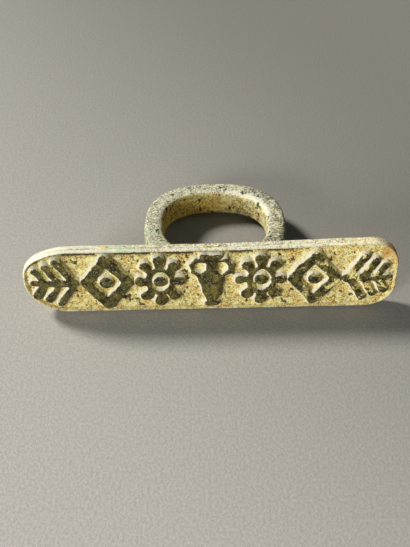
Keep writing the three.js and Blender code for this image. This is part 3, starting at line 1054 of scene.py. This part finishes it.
def rubbed_bronze(name):
    """Dark olive metal on the figures' tops, with pale grains, painted glints and green tints, and earth on
    their flanks, painted pale as highlight where they face the light and brown as shade where they face
    away.
    """
    paint = Paint(name)
    paint.shader.inputs["Specular IOR Level"].default_value = 0.25
    fine = paint.crumbs(FINE)
    coarse = paint.crumbs(METAL_PATCHES)
    metal = paint.layer(paint.between(coarse, low=0.42, high=0.66), RUBBED, RUBBED_LIGHT)
    tints = paint.noise(GREEN_TINTS, detail=2.0)
    metal = paint.speckled(metal, RUBBED_GREEN, tints, low=0.54, high=0.66, most=0.6)
    metal = paint.speckled(metal, RUBBED_LIGHT, fine, low=0.5, high=0.62, most=0.55)
    # painted glints on the figures' tops
    metal = paint.speckled(metal, SPECKS_AND_GLINTS, paint.noise(GLINT_GRAINS), low=0.62, high=0.7, most=0.85)
    earth = grains_of_earth(paint, fine, coarse)
    # painted shade: brown on the flanks that face away from the light
    earth = paint.crusted(earth, FLANK_SHADE, "flank_shade", size=0.5, amount=0.4, most=0.8)
    # painted highlight: pale on the flanks that face the light
    earth = paint.crusted(earth, CRUST_AND_HIGHLIGHT, "pale", size=0.5, amount=0.45, most=0.85)
    earth_mask = paint.ragged("earth", size=0.3, amount=0.4)
    colour = paint.layer(earth_mask, metal, earth)
    roughness = paint.between(earth_mask, low=0, high=1, start=0.42, end=0.9)
    return paint.finish(colour, roughness, fine_bumps(paint, fine), depth=0.16)


plate_bronze = earthy_bronze("plate_bronze")
ring_bronze = earthy_bronze("ring_bronze")
relief_bronze = rubbed_bronze("relief_bronze")

plate(plate_bronze)
rim(plate_bronze)
ring(ring_bronze)
ring_foot("left", -1, ring_bronze)
ring_foot("right", 1, ring_bronze)
for figure_name in FIGURES:
    figure(figure_name, relief_bronze)


# Floor, camera and light

FLOOR_HALF = 1.5  # metres
FLOOR = linear(168, 163, 155)
FLOOR_BRIGHT = linear(183, 181, 176)
FLOOR_DIM = linear(123, 121, 115)
FLOOR_FIBRE = linear(110, 107, 101)
FLOOR_TOWARDS_LIGHT = (-0.82, -0.57, 0)
FLOOR_FADE = 68
SKYLIGHT = (0.8, 0.92, 1.0, 1)


def floor():
    """A wide plain sheet with a fine paper grain, which fades away from the light."""
    corners = np.array([[-1, -1], [1, -1], [1, 1], [-1, 1]]) * FLOOR_HALF
    mesh = bpy.data.meshes.new("floor")
    mesh.from_pydata(np.pad(corners, ((0, 0), (0, 1))).tolist(), [], [[0, 1, 2, 3]])
    paint = Paint("floor_paper")
    fibres = paint.noise(PAPER_FIBRES)
    nearness = paint.nodes.new("ShaderNodeVectorMath")
    nearness.operation = "DOT_PRODUCT"
    nearness.inputs[1].default_value = FLOOR_TOWARDS_LIGHT
    paint.links.new(paint.place.outputs[0], nearness.inputs[0])
    lit = paint.between(nearness.outputs["Value"], -FLOOR_FADE, FLOOR_FADE)
    colour = paint.layer(lit, FLOOR_DIM, FLOOR_BRIGHT)
    colour = paint.layer(paint.between(fibres, low=0.35, high=0.65, start=0.24, end=0), colour, FLOOR_FIBRE)
    roughness = paint.between(fibres, low=0.3, high=0.7, start=0.85, end=0.95)
    mesh.materials.append(paint.finish(colour, roughness, fibres, depth=0.1))
    sheet = bpy.data.objects.new("floor", mesh)
    bpy.context.scene.collection.objects.link(sheet)


def sun(name, direction, strength, softness, colour):
    """A sun lamp that shines from a direction. Its softness is the angle in degrees that it fills."""
    lamp = bpy.data.lights.new(name, "SUN")
    lamp.energy = strength
    lamp.angle = math.radians(softness)
    lamp.color = colour
    holder = bpy.data.objects.new(name, lamp)
    holder.rotation_euler = Vector(direction).to_track_quat("Z", "Y").to_euler()
    bpy.context.scene.collection.objects.link(holder)


def surroundings(strength):
    """Cool light from all sides for the object, and a plain pale ground for what the camera sees past the
    floor."""
    world = bpy.data.worlds.new("studio")
    world.use_nodes = True
    nodes = world.node_tree.nodes
    links = world.node_tree.links
    fill = nodes["Background"]
    fill.inputs["Color"].default_value = SKYLIGHT
    fill.inputs["Strength"].default_value = strength
    seen = nodes.new("ShaderNodeBackground")
    seen.inputs["Color"].default_value = FLOOR
    rays = nodes.new("ShaderNodeLightPath")
    mix = nodes.new("ShaderNodeMixShader")
    links.new(rays.outputs["Is Camera Ray"], mix.inputs[0])
    links.new(fill.outputs[0], mix.inputs[1])
    links.new(seen.outputs[0], mix.inputs[2])
    links.new(mix.outputs[0], nodes["World Output"].inputs["Surface"])
    bpy.context.scene.world = world


def camera():
    """A pinhole camera at the fitted distance: it looks down by its pitch and is rolled a little."""
    sine = math.sin(CAMERA_PITCH)
    cosine = math.cos(CAMERA_PITCH)
    aim_x, aim_up = CAMERA_AIM
    away = CAMERA_DISTANCE
    place = leaned([aim_x, aim_up * sine - away * cosine, aim_up * cosine + away * sine])
    across = np.array([1.0, 0, 0])
    rise = np.array([0, sine, cosine])
    right = math.cos(CAMERA_ROLL) * across - math.sin(CAMERA_ROLL) * rise
    up = math.sin(CAMERA_ROLL) * across + math.cos(CAMERA_ROLL) * rise
    back = np.array([0, -cosine, sine])
    axes = np.stack([turned(right), turned(up), turned(back)], 1)
    lens = bpy.data.cameras.new("camera")
    lens.sensor_width = SENSOR
    lens.lens = FOCAL_PIXELS / PHOTO_HEIGHT * SENSOR
    lens.clip_start = NEAR_CLIP
    holder = bpy.data.objects.new("camera", lens)
    holder.matrix_world = Matrix.Translation(place.tolist()) @ Matrix(axes.tolist()).to_4x4()
    bpy.context.scene.collection.objects.link(holder)
    bpy.context.scene.camera = holder


floor()
camera()
sun("key", direction=(-0.66, 0.42, 0.6), strength=4.1, softness=12, colour=(1.0, 0.96, 0.88))
sun("front_fill", direction=(-0.64, -0.7, 0.3), strength=2.8, softness=20, colour=(1.0, 0.98, 0.94))
surroundings(strength=0.08)
bpy.context.scene.view_settings.view_transform = "Standard"
